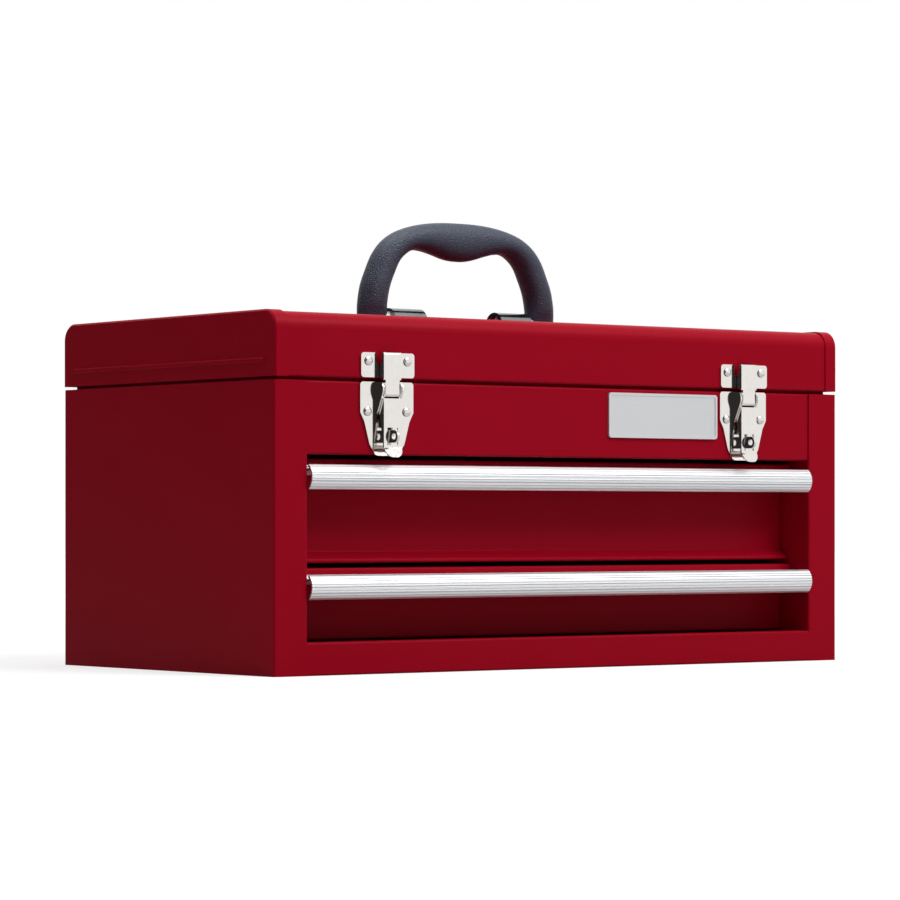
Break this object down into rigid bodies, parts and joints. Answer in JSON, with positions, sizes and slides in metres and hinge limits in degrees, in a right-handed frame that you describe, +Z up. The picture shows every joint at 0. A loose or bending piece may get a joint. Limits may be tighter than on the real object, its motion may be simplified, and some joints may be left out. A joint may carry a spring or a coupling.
{
  "type": "portable tool chest with drawers",
  "caption": "Portable sheet-steel tool chest: hinged lid with draw latches and a folding carrying handle, over recessed drawers with full-width ribbed pulls.",
  "frame": {"origin": "centre of the cabinet's footprint, on the surface that it stands on", "axes": "+X runs to the right along the front as its user faces it, +Y from the front to the rear, +Z up"},
  "size_m": [0.452, 0.2527, 0.2846],
  "materials": {
    "red_paint": "satin",
    "pull_aluminium": "ribbed, satin",
    "plated_steel": "polished",
    "slide_steel": "zinc plated",
    "badge_metal": "satin",
    "grip_plastic": "leather grain",
    "bracket_finish": "polished",
    "rod_steel": "polished"
  },
  "bodies": {
    "cabinet": {"side_panel_left": "red_paint", "side_panel_right": "red_paint", "bottom_pan": "red_paint", "front_top_rail": "red_paint", "back_panel": "red_paint", "compartment_floor": "red_paint", "badge_plate": "badge_metal", "guide_upper_left": "slide_steel", "guide_upper_right": "slide_steel", "guide_lower_left": "slide_steel", "guide_lower_right": "slide_steel", "hinge_leaf_body": "red_paint", "hinge_pin": "slide_steel", "latch_base_left": "plated_steel", "latch_base_right": "plated_steel", "latch_base_rivets": "plated_steel"},
    "lid": {"lid_panel": "red_paint", "lid_end_left": "red_paint", "lid_end_right": "red_paint", "hinge_leaf_lid": "red_paint", "latch_keeper_left": "plated_steel", "latch_keeper_right": "plated_steel", "latch_keeper_rivets": "plated_steel", "handle_bracket_left": "bracket_finish", "handle_bracket_right": "bracket_finish"},
    "handle": {"handle_grip": "grip_plastic", "handle_rod_left": "rod_steel", "handle_rod_right": "rod_steel"},
    "drawer_upper": {"drawer_front_upper": "red_paint", "drawer_tray_upper": "red_paint", "drawer_pull_upper": "pull_aluminium", "runner_upper_left": "slide_steel", "runner_upper_right": "slide_steel"},
    "drawer_lower": {"drawer_front_lower": "red_paint", "drawer_tray_lower": "red_paint", "drawer_pull_lower": "pull_aluminium", "runner_lower_left": "slide_steel", "runner_lower_right": "slide_steel"},
    "latch_lever_left": {"latch_lever_left": "plated_steel", "claw_pin_left": "plated_steel"},
    "latch_claw_left": {"latch_claw_left": "plated_steel"},
    "latch_lever_right": {"latch_lever_right": "plated_steel", "claw_pin_right": "plated_steel"},
    "latch_claw_right": {"latch_claw_right": "plated_steel"}
  },
  "joints": [
    {"name": "lid_hinge", "type": "hinge", "parent": "cabinet", "child": "lid", "pos_m": [0, 0.1205, 0.1763], "axis": [-1, 0, 0], "range_deg": [0, 100]},
    {"name": "handle_fold", "type": "hinge", "parent": "lid", "child": "handle", "pos_m": [0, 0, 0.2218], "axis": [1, 0, 0], "range_deg": [-72, 72]},
    {"name": "drawer_upper_slide", "type": "slide", "parent": "cabinet", "child": "drawer_upper", "axis": [0, -1, 0], "range_m": [0, 0.15]},
    {"name": "drawer_lower_slide", "type": "slide", "parent": "cabinet", "child": "drawer_lower", "axis": [0, -1, 0], "range_m": [0, 0.15]},
    {"name": "latch_left_lever", "type": "hinge", "parent": "cabinet", "child": "latch_lever_left", "pos_m": [-0.143, -0.1226, 0.1732], "axis": [-1, 0, 0], "range_deg": [0, 80]},
    {"name": "latch_left_claw", "type": "hinge", "parent": "latch_lever_left", "child": "latch_claw_left", "pos_m": [-0.143, -0.1223, 0.1678], "axis": [-1, 0, 0], "range_deg": [-96, 0]},
    {"name": "latch_right_lever", "type": "hinge", "parent": "cabinet", "child": "latch_lever_right", "pos_m": [0.143, -0.1226, 0.1732], "axis": [-1, 0, 0], "range_deg": [0, 80]},
    {"name": "latch_right_claw", "type": "hinge", "parent": "latch_lever_right", "child": "latch_claw_right", "pos_m": [0.143, -0.1223, 0.1678], "axis": [-1, 0, 0], "range_deg": [-96, 0]}
  ],
  "couplings": [
    {"joint": "latch_left_claw", "follows": "latch_left_lever", "ratio": -1.2},
    {"joint": "latch_right_claw", "follows": "latch_right_lever", "ratio": -1.2}
  ]
}
